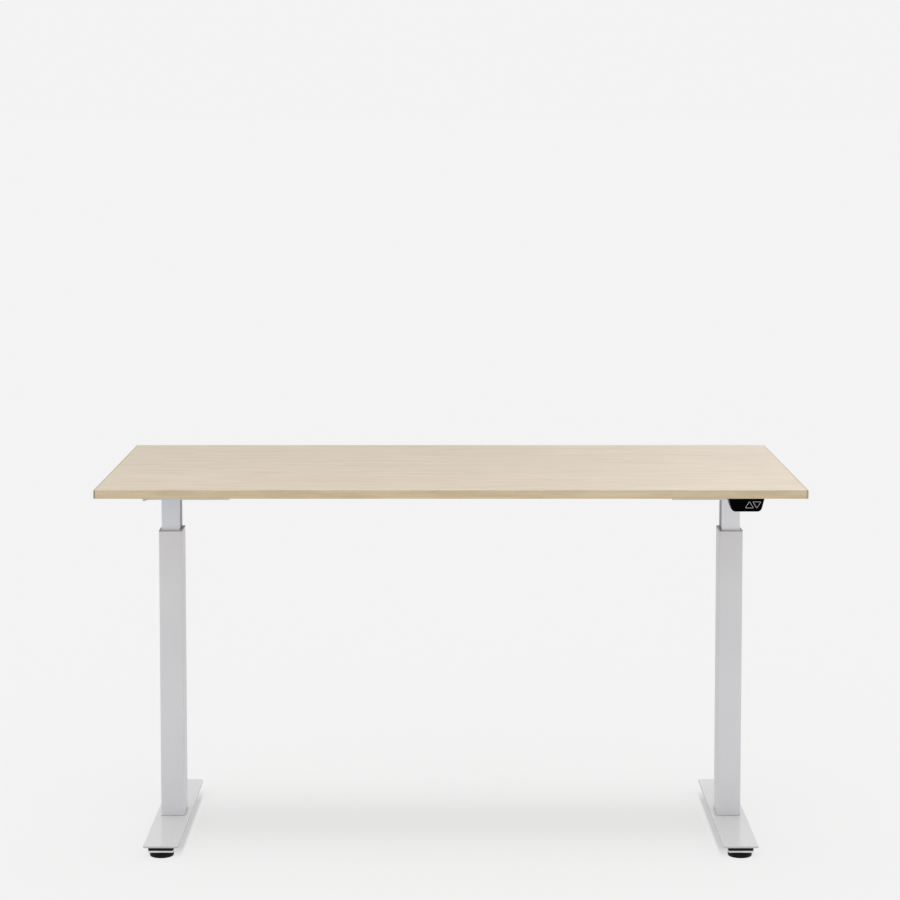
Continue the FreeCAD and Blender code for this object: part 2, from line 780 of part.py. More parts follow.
def tabletopScrews():
    screws = []
    for x, y, head in tabletopScrewPlaces():
        shank = rod(screwRadius, x, y, head, head + screwDepth)
        cap = rod(screwHeadRadius, x, y, head - screwHeadHeight, head)
        low, high = head - screwHeadHeight - 1, head - screwHeadHeight + screwCrossDepth
        wide, narrow = screwCrossLength / 2, screwCrossWidth / 2
        slot = block(x - narrow, x + narrow, y - wide, y + wide, low, high)
        cross = block(x - wide, x + wide, y - narrow, y + narrow, low, high)
        screws.append(shank.fuse(cap).cut(slot).cut(cross))
    return Part.makeCompound(screws)


def levellers():
    names = (("front", -padY), ("rear", padY))
    for end, y in names:
        for side, solid in (("right", levellerPad(y)), ("left", mirrored(levellerPad(y)))):
            save(side + "_" + end + "_pad", solid)
        for side, solid in (("right", levellerStud(y)), ("left", mirrored(levellerStud(y)))):
            save(side + "_" + end + "_stud", solid)
    sockets = [levellerSocket(y) for end, y in names]
    inserts = [levellerInsert(y) for end, y in names]
    saveBoth("leveller_sockets", Part.makeCompound(sockets))
    saveBoth("leveller_inserts", Part.makeCompound(inserts))


def fixedBase():
    savePair("foot_plate", footPlate())
    savePair("outer_column", outerColumn())
    saveBoth("column_base_plates", basePlate())
    saveBoth("column_base_bolts", baseBolts())
    saveBoth("column_collars", collar())
    saveBoth("upper_glides", upperGlide())
    savePair("nut_tube", nutTube())
    saveBoth("spindle_nuts", spindleNut())


def liftedFrame():
    savePair("inner_column", innerColumn())
    saveBoth("lower_glides", lowerGlide())
    savePair("gear_head", gearHead())
    savePair("support_arm", supportArm())
    save("front_beam_rail", beamRail(-1))
    save("rear_beam_rail", beamRail(1))
    saveBoth("frame_bolts", frameBolts())


def drives():
    savePair("motor", motor())
    savePair("gearbox", gearboxCase())
    saveBoth("gearbox_covers", gearboxCover())
    saveBoth("spindle_bearings", spindleBearings())
    savePair("spindle", spindle())
    savePair("worm_wheel", wormWheel())
    savePair("worm_shaft", wormShaft())


def controls():
    save("control_box_case", controlBoxCase())
    save("control_box_lid", controlBoxLid())
    save("control_board", controlBoard())
    save("mains_inlet", mainsInlet())
    save("keypad_case", keypadCase())
    save("keypad_face", keypadFace())
    save("keypad_board", keypadBoard())
    save("up_button", button(upButtonX, 1))
    save("down_button", button(downButtonX, -1))
    savePair("motor_lead", motorLead())
    save("keypad_lead", keypadLead())
    save("lead_clips", leadClips())


def tabletop():
    save("tabletop_panel", tabletopPanel())
    save("long_edge_strips", longEdgeStrips())
    saveBoth("side_edge_strips", sideEdgeStrip())
    save("tabletop_screws", tabletopScrews())


os.makedirs("parts", exist_ok=True)
levellers()
fixedBase()
liftedFrame()
drives()
controls()
tabletop()
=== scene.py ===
import json
import math

import bmesh
import bpy
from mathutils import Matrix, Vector


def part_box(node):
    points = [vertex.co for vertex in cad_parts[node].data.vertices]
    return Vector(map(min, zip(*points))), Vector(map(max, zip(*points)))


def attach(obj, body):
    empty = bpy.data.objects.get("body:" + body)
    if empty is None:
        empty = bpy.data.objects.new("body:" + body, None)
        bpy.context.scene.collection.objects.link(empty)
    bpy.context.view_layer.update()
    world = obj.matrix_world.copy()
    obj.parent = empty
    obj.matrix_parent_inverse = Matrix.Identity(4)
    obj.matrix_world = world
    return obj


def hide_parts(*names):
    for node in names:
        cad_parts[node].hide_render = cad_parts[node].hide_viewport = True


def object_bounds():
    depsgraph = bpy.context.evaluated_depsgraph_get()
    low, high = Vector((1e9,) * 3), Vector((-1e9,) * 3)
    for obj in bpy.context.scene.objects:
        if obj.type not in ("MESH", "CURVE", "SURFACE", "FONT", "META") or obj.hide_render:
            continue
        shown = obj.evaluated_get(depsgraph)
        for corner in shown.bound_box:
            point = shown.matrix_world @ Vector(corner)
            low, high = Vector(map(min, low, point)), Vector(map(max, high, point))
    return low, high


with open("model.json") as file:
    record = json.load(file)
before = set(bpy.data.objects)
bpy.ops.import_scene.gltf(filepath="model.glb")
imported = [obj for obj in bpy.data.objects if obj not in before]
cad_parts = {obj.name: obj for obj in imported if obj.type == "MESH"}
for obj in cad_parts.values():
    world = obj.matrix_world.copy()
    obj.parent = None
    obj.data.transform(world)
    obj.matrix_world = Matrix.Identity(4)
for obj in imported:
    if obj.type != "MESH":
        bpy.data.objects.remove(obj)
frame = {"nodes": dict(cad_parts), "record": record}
cadLow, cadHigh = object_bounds()
print("frame loaded with", len(frame["nodes"]), "nodes")

millimetre = 0.001
sides = ("left", "right")
ends = ("front", "rear")


# node helpers shared by every material
def startMaterial(name, values=()):
    material = bpy.data.materials.new(name)
    material.use_nodes = True
    shader = material.node_tree.nodes["Principled BSDF"]
    for socket, value in dict(values).items():
        shader.inputs[socket].default_value = value
    return material, material.node_tree, shader


def addNode(tree, kind, inputs=(), **settings):
    node = tree.nodes.new(kind)
    for key, value in settings.items():
        setattr(node, key, value)
    for key, value in dict(inputs).items():
        if isinstance(value, bpy.types.NodeSocket):
            tree.links.new(value, node.inputs[key])
        else:
            node.inputs[key].default_value = value
    return node


def objectCoords(tree, scale=(1, 1, 1), turn=(0, 0, 0)):
    coords = addNode(tree, "ShaderNodeTexCoord")
    mapping = addNode(tree, "ShaderNodeMapping", {"Vector": coords.outputs["Object"]})
    mapping.inputs["Scale"].default_value = scale
    mapping.inputs["Rotation"].default_value = turn
    return mapping.outputs["Vector"]


def noise(tree, vector, scale, detail=3.0, roughness=0.55, distortion=0.0):
    node = addNode(tree, "ShaderNodeTexNoise", {
        "Vector": vector, "Scale": scale, "Detail": detail,
        "Roughness": roughness, "Distortion": distortion})
    return node.outputs["Fac"]


def spread(tree, value, low, high, outLow=0.0, outHigh=1.0):
    node = addNode(tree, "ShaderNodeMapRange", {
        "Value": value, "From Min": low, "From Max": high, "To Min": outLow, "To Max": outHigh})
    return node.outputs["Result"]


def arithmetic(tree, operation, first, second=0.0):
    node = addNode(tree, "ShaderNodeMath", {0: first, 1: second}, operation=operation)
    return node.outputs[0]


def blendColour(tree, amount, first, second, kind="MIX"):
    node = addNode(tree, "ShaderNodeMix", data_type="RGBA", blend_type=kind)
    for socket, value in ((node.inputs[0], amount), (node.inputs[6], first), (node.inputs[7], second)):
        if isinstance(value, bpy.types.NodeSocket):
            tree.links.new(value, socket)
        else:
            socket.default_value = value
    return node.outputs[2]


def addBump(tree, shader, height, strength, distance):
    node = addNode(tree, "ShaderNodeBump", {"Height": height, "Strength": strength, "Distance": distance})
    tree.links.new(node.outputs["Normal"], shader.inputs["Normal"])


def solid(colour):
    return (*colour, 1.0)


# maple-look laminate and its edging: long fibres, broad soft bands and short flecks
mapleSettings = {
    "top": {"light": (0.755, 0.651, 0.522), "dark": (0.585, 0.475, 0.347), "contrast": 0.90},
    "edge": {"light": (0.710, 0.587, 0.404), "dark": (0.492, 0.387, 0.239), "contrast": 0.95},
    "end": {"light": (0.62, 0.520, 0.380), "dark": (0.45, 0.365, 0.245), "contrast": 0.95},
    "fibreScale": (3.2, 260.0),
    "hairScale": (9.0, 1100.0),
    "bandScale": (0.9, 16.0),
    "figureScale": (0.35, 6.0),
    "streakScale": (9.0, 68.0),
    "fleckScale": (75.0, 900.0),
    "shares": {"fibre": 0.28, "band": 0.18, "figure": 0.10, "hair": 0.10, "streak": 0.38},
    "fleckStrength": 0.22,
    "fleckTone": 0.72,
    "jointWidth": 1.2 * millimetre,
    "jointDepth": (0.4 * millimetre, 0.8 * millimetre),
    "jointStrength": 0.9,
    "jointColour": (0.12, 0.09, 0.06),
    # painted light: how much paler the top is made at the front, and darker at the back
    "paintedFrontLightFall": 0.045,
    "bumpDistance": 0.00004,
    "roughness": 0.46,
}


# painted light: the laminate's colour is made paler towards the front edge and darker towards the back
def paintedFrontLight(tree, colour):
    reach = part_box("tabletop_panel")[1][1]
    fall = mapleSettings["paintedFrontLightFall"]
    parts = addNode(tree, "ShaderNodeSeparateXYZ", {"Vector": objectCoords(tree)})
    level = spread(tree, parts.outputs["Y"], -reach, reach, 1.0 + fall, 1.0 - fall)
    factors = addNode(tree, "ShaderNodeCombineColor", {"Red": level, "Green": level, "Blue": level})
    return blendColour(tree, 1.0, colour, factors.outputs["Color"], "MULTIPLY")


# the glued joint between the long and the side edging shows as a fine dark line at the front
def darkenJoint(tree, colour):
    settings = mapleSettings
    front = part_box("side_edge_strips")[0][1]
    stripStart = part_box("tabletop_panel")[1][0]
    parts = addNode(tree, "ShaderNodeSeparateXYZ", {"Vector": objectCoords(tree)})
    across = arithmetic(tree, "ABSOLUTE", parts.outputs["X"])
    width = settings["jointWidth"]
    line = spread(tree, across, stripStart + width * 0.8, stripStart + width * 1.2, 1.0, 0.0)
    fadeStart, fadeEnd = settings["jointDepth"]
    atFront = spread(tree, parts.outputs["Y"], front + fadeStart, front + fadeEnd,
                     settings["jointStrength"], 0.0)
    amount = arithmetic(tree, "MULTIPLY", line, atFront)
    return blendColour(tree, amount, colour, solid(settings["jointColour"]))


# object coordinates drawn out along the grain: one scale along it and one across it
def grainCoords(tree, scales, turn):
    along, across = scales
    return objectCoords(tree, (along, across, across), turn)


def mapleMaterial(name, tones, alongY=False):
    settings = mapleSettings
    material, tree, shader = startMaterial(name, {"IOR": 1.46})
    turn = (0, 0, math.pi / 2) if alongY else (0, 0, 0)
    fibre = noise(tree, grainCoords(tree, settings["fibreScale"], turn), 1.0, 4.0, 0.6)
    hair = noise(tree, grainCoords(tree, settings["hairScale"], turn), 1.0, 2.0, 0.5)
    band = noise(tree, grainCoords(tree, settings["bandScale"], turn), 1.0, 3.0, 0.5, 0.6)
    figure = addNode(tree, "ShaderNodeTexWave", {
        "Vector": grainCoords(tree, settings["figureScale"], turn), "Scale": 1.6, "Distortion": 5.5,
        "Detail": 3.0, "Detail Scale": 0.8}, wave_type="BANDS", bands_direction="Y").outputs["Fac"]
    streak = noise(tree, grainCoords(tree, settings["streakScale"], turn), 1.0, 3.0, 0.55)
    layers = {"fibre": spread(tree, fibre, 0.32, 0.68), "band": spread(tree, band, 0.3, 0.7),
              "figure": figure, "hair": spread(tree, hair, 0.35, 0.65),
              "streak": spread(tree, streak, 0.39, 0.66)}
    tone = 0.0
    for layer, share in settings["shares"].items():
        tone = arithmetic(tree, "ADD", arithmetic(tree, "MULTIPLY", layers[layer], share), tone)
    amount = arithmetic(tree, "MULTIPLY", tone, tones["contrast"])
    colour = blendColour(tree, amount, solid(tones["light"]), solid(tones["dark"]))
    flecks = noise(tree, grainCoords(tree, settings["fleckScale"], turn), 1.0, 1.0, 0.4)
    fleck = spread(tree, flecks, 0.70, 0.80, 0.0, settings["fleckStrength"])
    colour = blendColour(tree, fleck, colour, solid([c * settings["fleckTone"] for c in tones["dark"]]))
    if alongY:
        colour = darkenJoint(tree, colour)
    else:
        # painted light: the top is made paler towards its front edge
        colour = paintedFrontLight(tree, colour)
    tree.links.new(colour, shader.inputs["Base Color"])
    low, high = settings["roughness"] - 0.05, settings["roughness"] + 0.07
    tree.links.new(spread(tree, fibre, 0.3, 0.7, low, high), shader.inputs["Roughness"])
    addBump(tree, shader, arithmetic(tree, "ADD", fibre, hair), 0.35, settings["bumpDistance"])
    return material


# powder coat: an even grey with the fine orange peel and the tiny sparkle of the powder;
# the foot plates' sides below the top edge are duller, and darker as painted shade
powderSettings = {
    "outer": {"colour": (0.698, 0.700, 0.722), "rough": (0.40, 0.52)},
    "inner": {"colour": (0.697, 0.735, 0.800), "rough": (0.30, 0.42)},
    # painted light: a lighter copy of the inner coat for the right inner tube, for the extra light from
    # the right
    "innerPaintedLight": {"colour": (0.825, 0.838, 0.895), "rough": (0.30, 0.42)},
    # painted light: the foot plates' coat is set lighter than the tubes' coat, for the stronger light on
    # the feet
    "foot": {"colour": (0.795, 0.800, 0.822), "rough": (0.10, 0.15)},
    "frame": {"colour": (0.660, 0.662, 0.680), "rough": (0.40, 0.52)},
    # painted shade: the foot plates' sides below the top edge are darkened by this tone, and made duller
    "paintedShadeSideDepth": (0.2 * millimetre, 0.6 * millimetre),
    "paintedSideShadeTone": 0.66,
    "sideDulling": 0.45,
    "peelScale": 950.0,
    "grainScale": 3200.0,
    "bumpDistance": 0.00003,
}


def powderMaterial(name, kind):
    settings = powderSettings
    colour, (low, high) = settings[kind]["colour"], settings[kind]["rough"]
    material, tree, shader = startMaterial(name, {"IOR": 1.45})
    coords = objectCoords(tree)
    peel = noise(tree, coords, settings["peelScale"], 2.0, 0.5)
    grain = noise(tree, coords, settings["grainScale"], 2.0, 0.6)
    cloud = noise(tree, coords, 7.0, 3.0, 0.5)
    tint = blendColour(tree, spread(tree, cloud, 0.3, 0.7), solid([c * 0.975 for c in colour]),
                       solid([min(1.0, c * 1.02) for c in colour]))
    tint = blendColour(tree, spread(tree, grain, 0.62, 0.75, 0.0, 0.35), tint,
                       solid([min(1.0, c * 1.12) for c in colour]))
    roughness = spread(tree, peel, 0.3, 0.7, low, high)
    # painted shade: darkens the foot plates' sides below the top edge, and makes them duller
    if kind == "foot":
        parts = addNode(tree, "ShaderNodeSeparateXYZ", {"Vector": coords})
        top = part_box("left_foot_plate")[1][2]
        near, far = settings["paintedShadeSideDepth"]
        paintedShadeSides = spread(tree, parts.outputs["Z"], top - far, top - near, 1.0, 0.0)
        tint = blendColour(tree, paintedShadeSides, tint, solid([c * settings["paintedSideShadeTone"] for c in colour]))
        roughness = arithmetic(tree, "ADD", roughness,
                               arithmetic(tree, "MULTIPLY", paintedShadeSides, settings["sideDulling"]))
    tree.links.new(tint, shader.inputs["Base Color"])
    tree.links.new(roughness, shader.inputs["Roughness"])
    addBump(tree, shader, arithmetic(tree, "ADD", peel, arithmetic(tree, "MULTIPLY", grain, 0.4)),
            0.45, settings["bumpDistance"])
    return material


# moulded plastics: spark-eroded grain on the matt ones, faint smears on the gloss ones
plasticSettings = {
    "black": {"colour": (0.0042, 0.0042, 0.0045), "rough": (0.36, 0.50),
        "grain": 2200.0, "depth": 0.00003, "shine": 0.14},
    "collar": {"colour": (0.410, 0.415, 0.430), "rough": (0.45, 0.58),
        "grain": 2200.0, "depth": 0.00003, "shine": 0.36},
    # painted shade: the dark tone of the strips in the inner tubes' side grooves
    "strip": {"colour": (0.220, 0.222, 0.230), "rough": (0.40, 0.52),
        "grain": 1500.0, "depth": 0.00002, "shine": 0.36},
    # painted shade: the dark band round each tube's foot, standing in for the shade line where the tube
    # meets the plate
    "paintedBaseShade": {"colour": (0.320, 0.320, 0.324), "rough": (0.60, 0.75),
        "grain": 1500.0, "depth": 0.00002, "shine": 0.36},
    "glide": {"colour": (0.74, 0.73, 0.69), "rough": (0.32, 0.42),
        "grain": 1200.0, "depth": 0.00002, "shine": 0.36},
    "sheath": {"colour": (0.016, 0.016, 0.017), "rough": (0.50, 0.62),
        "grain": 1500.0, "depth": 0.00002, "shine": 0.30},
}


def plasticMaterial(name, kind):
    settings = plasticSettings[kind]
    material, tree, shader = startMaterial(name, {"IOR": 1.48, "Specular IOR Level": settings["shine"]})
    coords = objectCoords(tree)
    grain = noise(tree, coords, settings["grain"], 3.0, 0.6)
    cloud = noise(tree, coords, 22.0, 3.0, 0.55)
    colour = settings["colour"]
    tint = blendColour(tree, spread(tree, cloud, 0.3, 0.7), solid([c * 0.88 for c in colour]),
                       solid([c * 1.14 for c in colour]))
    tree.links.new(tint, shader.inputs["Base Color"])
    low, high = settings["rough"]
    tree.links.new(spread(tree, cloud, 0.25, 0.75, low, high), shader.inputs["Roughness"])
    addBump(tree, shader, grain, 0.5, settings["depth"])
    return material


def glossMaterial(name, colour, smear=0.10):
    material, tree, shader = startMaterial(name, {"IOR": 1.45, "Specular IOR Level": 0.012})
    coords = objectCoords(tree)
    film = noise(tree, objectCoords(tree, (60.0, 60.0, 160.0)), 1.0, 4.0, 0.6)
    dust = noise(tree, coords, 1800.0, 1.0, 0.4)
    tint = blendColour(tree, spread(tree, dust, 0.72, 0.80, 0.0, 0.25), solid(colour),
                       solid([c * 1.6 + 0.012 for c in colour]))
    tree.links.new(tint, shader.inputs["Base Color"])
    tree.links.new(spread(tree, film, 0.3, 0.75, 0.06, 0.06 + smear), shader.inputs["Roughness"])
    addBump(tree, shader, noise(tree, coords, 45.0, 2.0, 0.5), 0.08, 0.0002)
    return material


# bare and plated metals: fine turning or rolling lines over a slow change of tone
metalSettings = {
    "zinc": {"colour": (0.66, 0.66, 0.64), "rough": (0.26, 0.44), "lines": (700.0, 700.0, 700.0)},
    "nickel": {"colour": (0.72, 0.72, 0.72), "rough": (0.20, 0.32), "lines": (60.0, 60.0, 2400.0)},
    "turned": {"colour": (0.56, 0.56, 0.57), "rough": (0.20, 0.34), "lines": (40.0, 40.0, 3000.0)},
    "bronze": {"colour": (0.66, 0.46, 0.22), "rough": (0.24, 0.38), "lines": (60.0, 60.0, 2600.0)},
    "cast": {"colour": (0.60, 0.60, 0.61), "rough": (0.42, 0.60), "lines": (520.0, 520.0, 520.0)},
    "motor": {"colour": (0.45, 0.45, 0.46), "rough": (0.30, 0.44), "lines": (2600.0, 50.0, 50.0)},
}


def metalMaterial(name, kind):
    settings = metalSettings[kind]
    material, tree, shader = startMaterial(name, {"Metallic": 1.0})
    lines = noise(tree, objectCoords(tree, settings["lines"]), 1.0, 3.0, 0.6)
    cloud = noise(tree, objectCoords(tree), 30.0, 4.0, 0.6)
    colour = settings["colour"]
    tint = blendColour(tree, spread(tree, cloud, 0.3, 0.7), solid([c * 0.86 for c in colour]),
                       solid([min(1.0, c * 1.08) for c in colour]))
    tree.links.new(tint, shader.inputs["Base Color"])
    low, high = settings["rough"]
    tree.links.new(spread(tree, arithmetic(tree, "MULTIPLY", arithmetic(tree, "ADD", lines, cloud), 0.5),
                          0.3, 0.7, low, high), shader.inputs["Roughness"])
    addBump(tree, shader, lines, 0.35, 0.00002)
    return material


# green solder mask with tinned tracks
def boardMaterial(name):
    material, tree, shader = startMaterial(name, {"Roughness": 0.35})
    coords = objectCoords(tree)
    tracks = addNode(tree, "ShaderNodeTexBrick", {
        "Vector": coords, "Scale": 90.0, "Mortar Size": 0.05, "Brick Width": 0.9, "Row Height": 0.3})
    colour = blendColour(tree, spread(tree, noise(tree, coords, 300.0), 0.4, 0.6),
                         solid((0.012, 0.095, 0.040)), solid((0.018, 0.120, 0.052)))
    colour = blendColour(tree, tracks.outputs["Fac"], colour, solid((0.045, 0.200, 0.090)))
    tree.links.new(colour, shader.inputs["Base Color"])
    addBump(tree, shader, tracks.outputs["Fac"], 0.4, 0.00004)
    return material


materials = {
    "maple_laminate": mapleMaterial("mapleLaminate", mapleSettings["top"]),
    "maple_edging": mapleMaterial("mapleLongEdging", mapleSettings["edge"]),
    "side_edging": mapleMaterial("mapleSideEdging", mapleSettings["end"], alongY=True),
    "outer_coat": powderMaterial("outerTubePowder", "outer"),
    "inner_coat": powderMaterial("innerTubePowder", "inner"),
    # painted light: the lighter copy of the inner tube coat
    "inner_painted_light": powderMaterial("innerTubePowderPaintedLight", "innerPaintedLight"),
    "foot_coat": powderMaterial("footPowder", "foot"),
    "frame_coat": powderMaterial("framePowder", "frame"),
    "zinc_steel": metalMaterial("zincPlate", "zinc"),
    "black_plastic": plasticMaterial("blackMoulding", "black"),
    "collar_plastic": plasticMaterial("collarMoulding", "collar"),
    "glide_plastic": plasticMaterial("glideMoulding", "glide"),
    # painted shade: dark strips in the inner tubes' side grooves
    "painted_shade_strip": plasticMaterial("paintedShadeStrip", "strip"),
    # painted shade: colour of the dark band round each tube's foot
    "painted_base_shade": plasticMaterial("paintedBaseShadeBand", "paintedBaseShade"),
    "bright_plate": metalMaterial("brightPlate", "nickel"),
    "turned_steel": metalMaterial("turnedSteel", "turned"),
    "gear_bronze": metalMaterial("gearBronze", "bronze"),
    "gearbox_alloy": metalMaterial("castAlloy", "cast"),
    "motor_can": metalMaterial("motorCan", "motor"),
    "circuit_board": boardMaterial("circuitBoard"),
    "keypad_gloss": glossMaterial("keypadGloss", (0.0006, 0.0009, 0.0015)),
    "arrow_print": glossMaterial("arrowPrint", (0.54, 0.54, 0.56), 0.3),
    "lead_sheath": plasticMaterial("leadSheath", "sheath"),
}
nodeSlots = {row["node"]: row["material_slot"] for row in frame["record"]["subparts"]}
nodeBody = {node: body for body, group in frame["record"]["behaviour"]["bodies"].items() for node in group}
for node, cadObject in frame["nodes"].items():
    cadObject.data.materials.clear()
    cadObject.data.materials.append(materials[nodeSlots[node]])
print("materials made:", len(materials))


# turning a bmesh into a named piece that rides on a body
def makePiece(name, bm, material, body, replaced=(), bevel=0.0, smoothAngle=35.0):
    mesh = bpy.data.meshes.new(name)
    bmesh.ops.recalc_face_normals(bm, faces=bm.faces)
    bm.to_mesh(mesh)
    bm.free()
    piece = bpy.data.objects.new(name, mesh)
    bpy.context.scene.collection.objects.link(piece)
    mesh.materials.append(materials[material])
    mesh.shade_smooth()
    if bevel > 0.0:
        rounding = piece.modifiers.new("softEdges", "BEVEL")
        rounding.width = bevel
        rounding.segments = 2
        rounding.limit_method = "ANGLE"
        rounding.angle_limit = math.radians(smoothAngle)
        rounding.harden_normals = True
    else:
        mesh.set_sharp_from_angle(angle=math.radians(smoothAngle))
    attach(piece, body)
    if replaced:
        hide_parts(*replaced)
    return piece


# joins one bmesh into another, and frees it
def addMesh(bm, other):
    mesh = bpy.data.meshes.new("joined")
    other.to_mesh(mesh)
    other.free()
    bm.from_mesh(mesh)
    bpy.data.meshes.remove(mesh)


def addBlock(bm, low, high):
    made = bmesh.ops.create_cube(bm, size=1.0)["verts"]
    size = [high[i] - low[i] for i in range(3)]
    middle = [(high[i] + low[i]) / 2 for i in range(3)]
    bmesh.ops.scale(bm, vec=size, verts=made)
    bmesh.ops.translate(bm, vec=middle, verts=made)
    return made


def roundEdges(bm, edges, radius, segments=4):
    bmesh.ops.bevel(bm, geom=edges, offset=radius, segments=segments, profile=0.5, affect="EDGES",
                    clamp_overlap=True, material=-1)


def edgesWhere(bm, test):
    return [edge for edge in bm.edges if test(*(v.co for v in edge.verts))]


def upright(a, b):
    return abs(a.z - b.z) > 1e-5 and abs(a.x - b.x) < 1e-6 and abs(a.y - b.y) < 1e-6


# a rectangular tube: rounded block, both ends inset by the wall, and the two openings bridged
def addTube(bm, low, high, radius, wall, segments=5):
    addBlock(bm, low, high)
    roundEdges(bm, edgesWhere(bm, upright), radius, segments)
    caps = [face for face in bm.faces if abs(face.normal.z) > 0.9]
    for cap in caps:
        bmesh.ops.inset_region(bm, faces=[cap], thickness=wall, use_even_offset=True)
    rims = [edge for cap in caps for edge in cap.edges]
    bmesh.ops.delete(bm, geom=caps, context="FACES_ONLY")
    bmesh.ops.bridge_loops(bm, edges=rims)


# a turned shape: the outline goes from the axis out and back, and spins round an upright centre
def addTurned(bm, outline, centre, steps=64):
    points = [bm.verts.new((centre[0] + r, centre[1], z)) for r, z in outline]
    edges = [bm.edges.new(pair) for pair in zip(points, points[1:])]
    bmesh.ops.spin(bm, geom=points + edges, cent=(centre[0], centre[1], 0.0), axis=(0, 0, 1),
                   angle=2 * math.pi, steps=steps, use_merge=True)
    bmesh.ops.remove_doubles(bm, verts=bm.verts, dist=1e-7)


def ringEdges(bm, radius, height, centre):
    def onRing(point):
        away = math.hypot(point.x - centre[0], point.y - centre[1])
        return abs(away - radius) < 1e-5 and abs(point.z - height) < 1e-6
    return edgesWhere(bm, lambda a, b: onRing(a) and onRing(b))


# a screw thread: one groove's outline climbs round the core, and both ends are closed
def addThread(bm, centre, low, high, crest, root, pitch, flat, stepsPerTurn=28):
    turns = int((high - low) / pitch) - 1
    start = low + (high - low - turns * pitch) / 2
    slope = (pitch - 2 * flat) / 2
    outline = [(root, 0.0), (crest, slope), (crest, slope + flat), (root, pitch - flat), (root, pitch)]
    points = [bm.verts.new((centre[0] + r, centre[1], start - pitch / 2 + z)) for r, z in outline]
    edges = [bm.edges.new(pair) for pair in zip(points, points[1:])]
    steps = turns * stepsPerTurn
    bmesh.ops.spin(bm, geom=points + edges, cent=(centre[0], centre[1], 0.0), axis=(0, 0, 1),
                   dvec=(0, 0, pitch / stepsPerTurn), angle=2 * math.pi * turns, steps=steps)
    bmesh.ops.remove_doubles(bm, verts=bm.verts, dist=1e-6)
    bmesh.ops.holes_fill(bm, edges=[edge for edge in bm.edges if edge.is_boundary], sides=0)


# CAD pieces that keep their shape, welded, smoothed and given soft edges
def refineNode(node, bevel=0.0, smoothAngle=35.0, material=None):
    bm = bmesh.new()
    bm.from_mesh(frame["nodes"][node].data)
    bmesh.ops.remove_doubles(bm, verts=bm.verts, dist=2e-6)
    bmesh.ops.dissolve_limit(bm, angle_limit=math.radians(0.4), verts=bm.verts, edges=bm.edges,
                             delimit=set())
    return makePiece("finished_" + node, bm, material or nodeSlots[node], nodeBody[node],
                     [node], bevel, smoothAngle)


refinedNodes = {
    "long_edge_strips": 0.0,
    "left_support_arm": 0.4 * millimetre,
    "right_support_arm": 0.4 * millimetre,
    "left_gear_head": 0.0,
    "right_gear_head": 0.0,
    "front_beam_rail": 0.0,
    "rear_beam_rail": 0.0,
    "keypad_case": 0.4 * millimetre,
    "keypad_face": 0.2 * millimetre,
    "mains_inlet": 0.3 * millimetre,
    "control_box_lid": 0.3 * millimetre,
    "lead_clips": 0.3 * millimetre,
    "left_motor_lead": 0.0,
    "right_motor_lead": 0.0,
    "keypad_lead": 0.0,
    "tabletop_screws": 0.15 * millimetre,
    "frame_bolts": 0.2 * millimetre,
    "column_base_bolts": 0.2 * millimetre,
    "upper_glides": 0.0,
    "lower_glides": 0.0,
    "left_motor": 0.0,
    "right_motor": 0.0,
}
for node, bevel in refinedNodes.items():
    refineNode(node, bevel)
refineNode("side_edge_strips", material="side_edging")
print("refined nodes:", len(refinedNodes) + 1)


# lift columns: drawn steel tubes, with the dark rim that guides the inner one
columnSettings = {
    "outerRadius": 2.8 * millimetre,
    "outerWall": 2.0 * millimetre,
    "innerRadius": 3.0 * millimetre,
    "innerWall": 1.5 * millimetre,
    "rimBevel": 0.35 * millimetre,
    "collarBevel": 0.5 * millimetre,
    "collarGap": 0.15 * millimetre,
    "grooveHalf": 23.0 * millimetre,
    "grooveDepth": 0.6 * millimetre,
    "grooveSlope": 0.3 * millimetre,
    "stripThickness": 0.4 * millimetre,
    "stripRecess": 0.05 * millimetre,
    "stripGap": 0.3 * millimetre,
    "stripBevel": 0.12 * millimetre,
    # size of the dark band of painted shade round each tube's foot
    "shadeBandHeight": 0.8 * millimetre,
    "shadeBandProud": 0.15 * millimetre,
}


def makeOuterTube(side):
    settings = columnSettings
    node = f"{side}_outer_column"
    low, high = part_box(node)
    bm = bmesh.new()
    addTube(bm, low, high, settings["outerRadius"], settings["outerWall"])
    makePiece(f"{side}_outer_tube", bm, "outer_coat", "base", [node], settings["rimBevel"])
    # painted shade: a thin dark band round the tube's foot stands in for the shade line at its base
    proud = settings["shadeBandProud"]
    paintedBaseShade = bmesh.new()
    addTube(paintedBaseShade, (low[0] - proud, low[1] - proud, low[2]),
            (high[0] + proud, high[1] + proud, low[2] + settings["shadeBandHeight"]),
            settings["outerRadius"] + proud, proud * 1.1)
    makePiece(f"{side}_painted_base_shade", paintedBaseShade, "painted_base_shade", "base")


